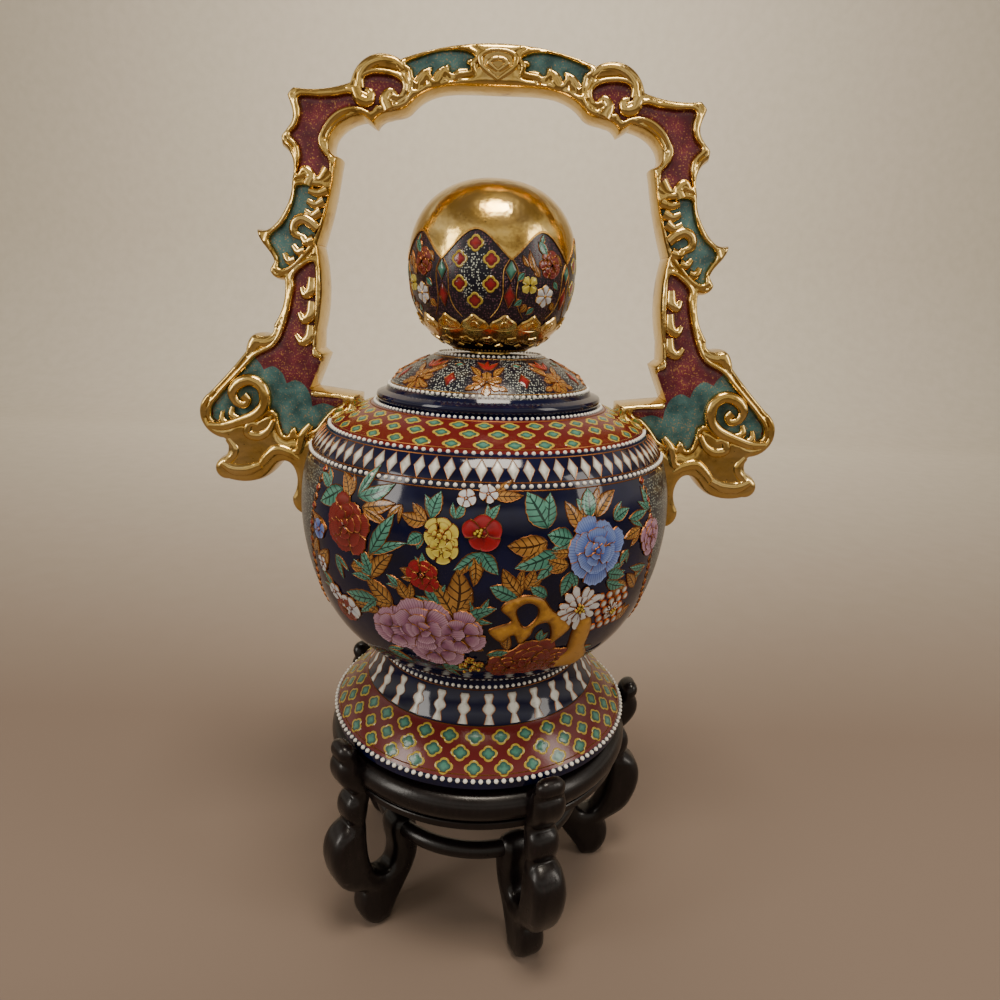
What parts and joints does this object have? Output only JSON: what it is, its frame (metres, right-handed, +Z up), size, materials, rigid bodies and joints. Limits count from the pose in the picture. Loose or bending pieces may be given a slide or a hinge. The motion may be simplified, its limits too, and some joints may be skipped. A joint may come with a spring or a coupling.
{
  "type": "lidded handled vase on stand",
  "caption": "Lidded ceramic jar with a ball finial, an arched overhead handle and raised floral enamels, on a carved wooden stand.",
  "frame": {"origin": "centre of the stand's footprint, on the surface that it stands on; the vase's axis is the Z axis", "axes": "+Z up along the vase's axis, the arched handle in the XZ plane, -Y the front"},
  "size_m": [0.427, 0.2851, 0.651],
  "materials": {
    "carved_wood": "dark semi-gloss lacquer over carved hardwood",
    "enamelled_body": "glossy navy glaze with raised gold-outlined enamels",
    "enamelled_foot": "glossy red and navy enamel bands",
    "enamelled_lid": "glossy navy glaze with enamels and gold",
    "enamelled_ball": "glossy glaze, gilt cap and cup",
    "gilt_ceramic": "bright gold lustre over relief-moulded glazed ceramic"
  },
  "bodies": {
    "stand": {"stand_leg_1": "carved_wood", "stand_leg_2": "carved_wood", "stand_leg_3": "carved_wood", "stand_leg_4": "carved_wood", "stand_leg_5": "carved_wood", "stand_rail_1": "carved_wood", "stand_rail_2": "carved_wood", "stand_rail_3": "carved_wood", "stand_rail_4": "carved_wood", "stand_rail_5": "carved_wood", "stand_stretcher_1": "carved_wood", "stand_stretcher_2": "carved_wood", "stand_stretcher_3": "carved_wood", "stand_stretcher_4": "carved_wood", "stand_stretcher_5": "carved_wood", "stand_board": "carved_wood", "stand_rail_dowels": "carved_wood", "stand_stretcher_dowels": "carved_wood"},
    "vase": {"vase_belly": "enamelled_body", "vase_foot": "enamelled_foot", "handle_bridge": "gilt_ceramic", "handle_corner_left": "gilt_ceramic", "handle_corner_right": "gilt_ceramic", "handle_side_left": "gilt_ceramic", "handle_side_right": "gilt_ceramic", "handle_leg_left": "gilt_ceramic", "handle_leg_right": "gilt_ceramic", "handle_shoulder_left": "gilt_ceramic", "handle_shoulder_right": "gilt_ceramic", "handle_bracket_left": "gilt_ceramic", "handle_bracket_right": "gilt_ceramic", "handle_volutes": "gilt_ceramic"},
    "lid": {"lid_cover": "enamelled_lid", "finial_ball": "enamelled_ball", "finial_petal_cup": "gilt_ceramic"}
  },
  "joints": [
    {"name": "vase_lift", "type": "slide", "parent": "stand", "child": "vase", "axis": [0, 0, 1], "range_m": [0, 0.08]},
    {"name": "lid_lift", "type": "slide", "parent": "vase", "child": "lid", "axis": [0, 0, 1], "range_m": [0, 0.048]}
  ]
}
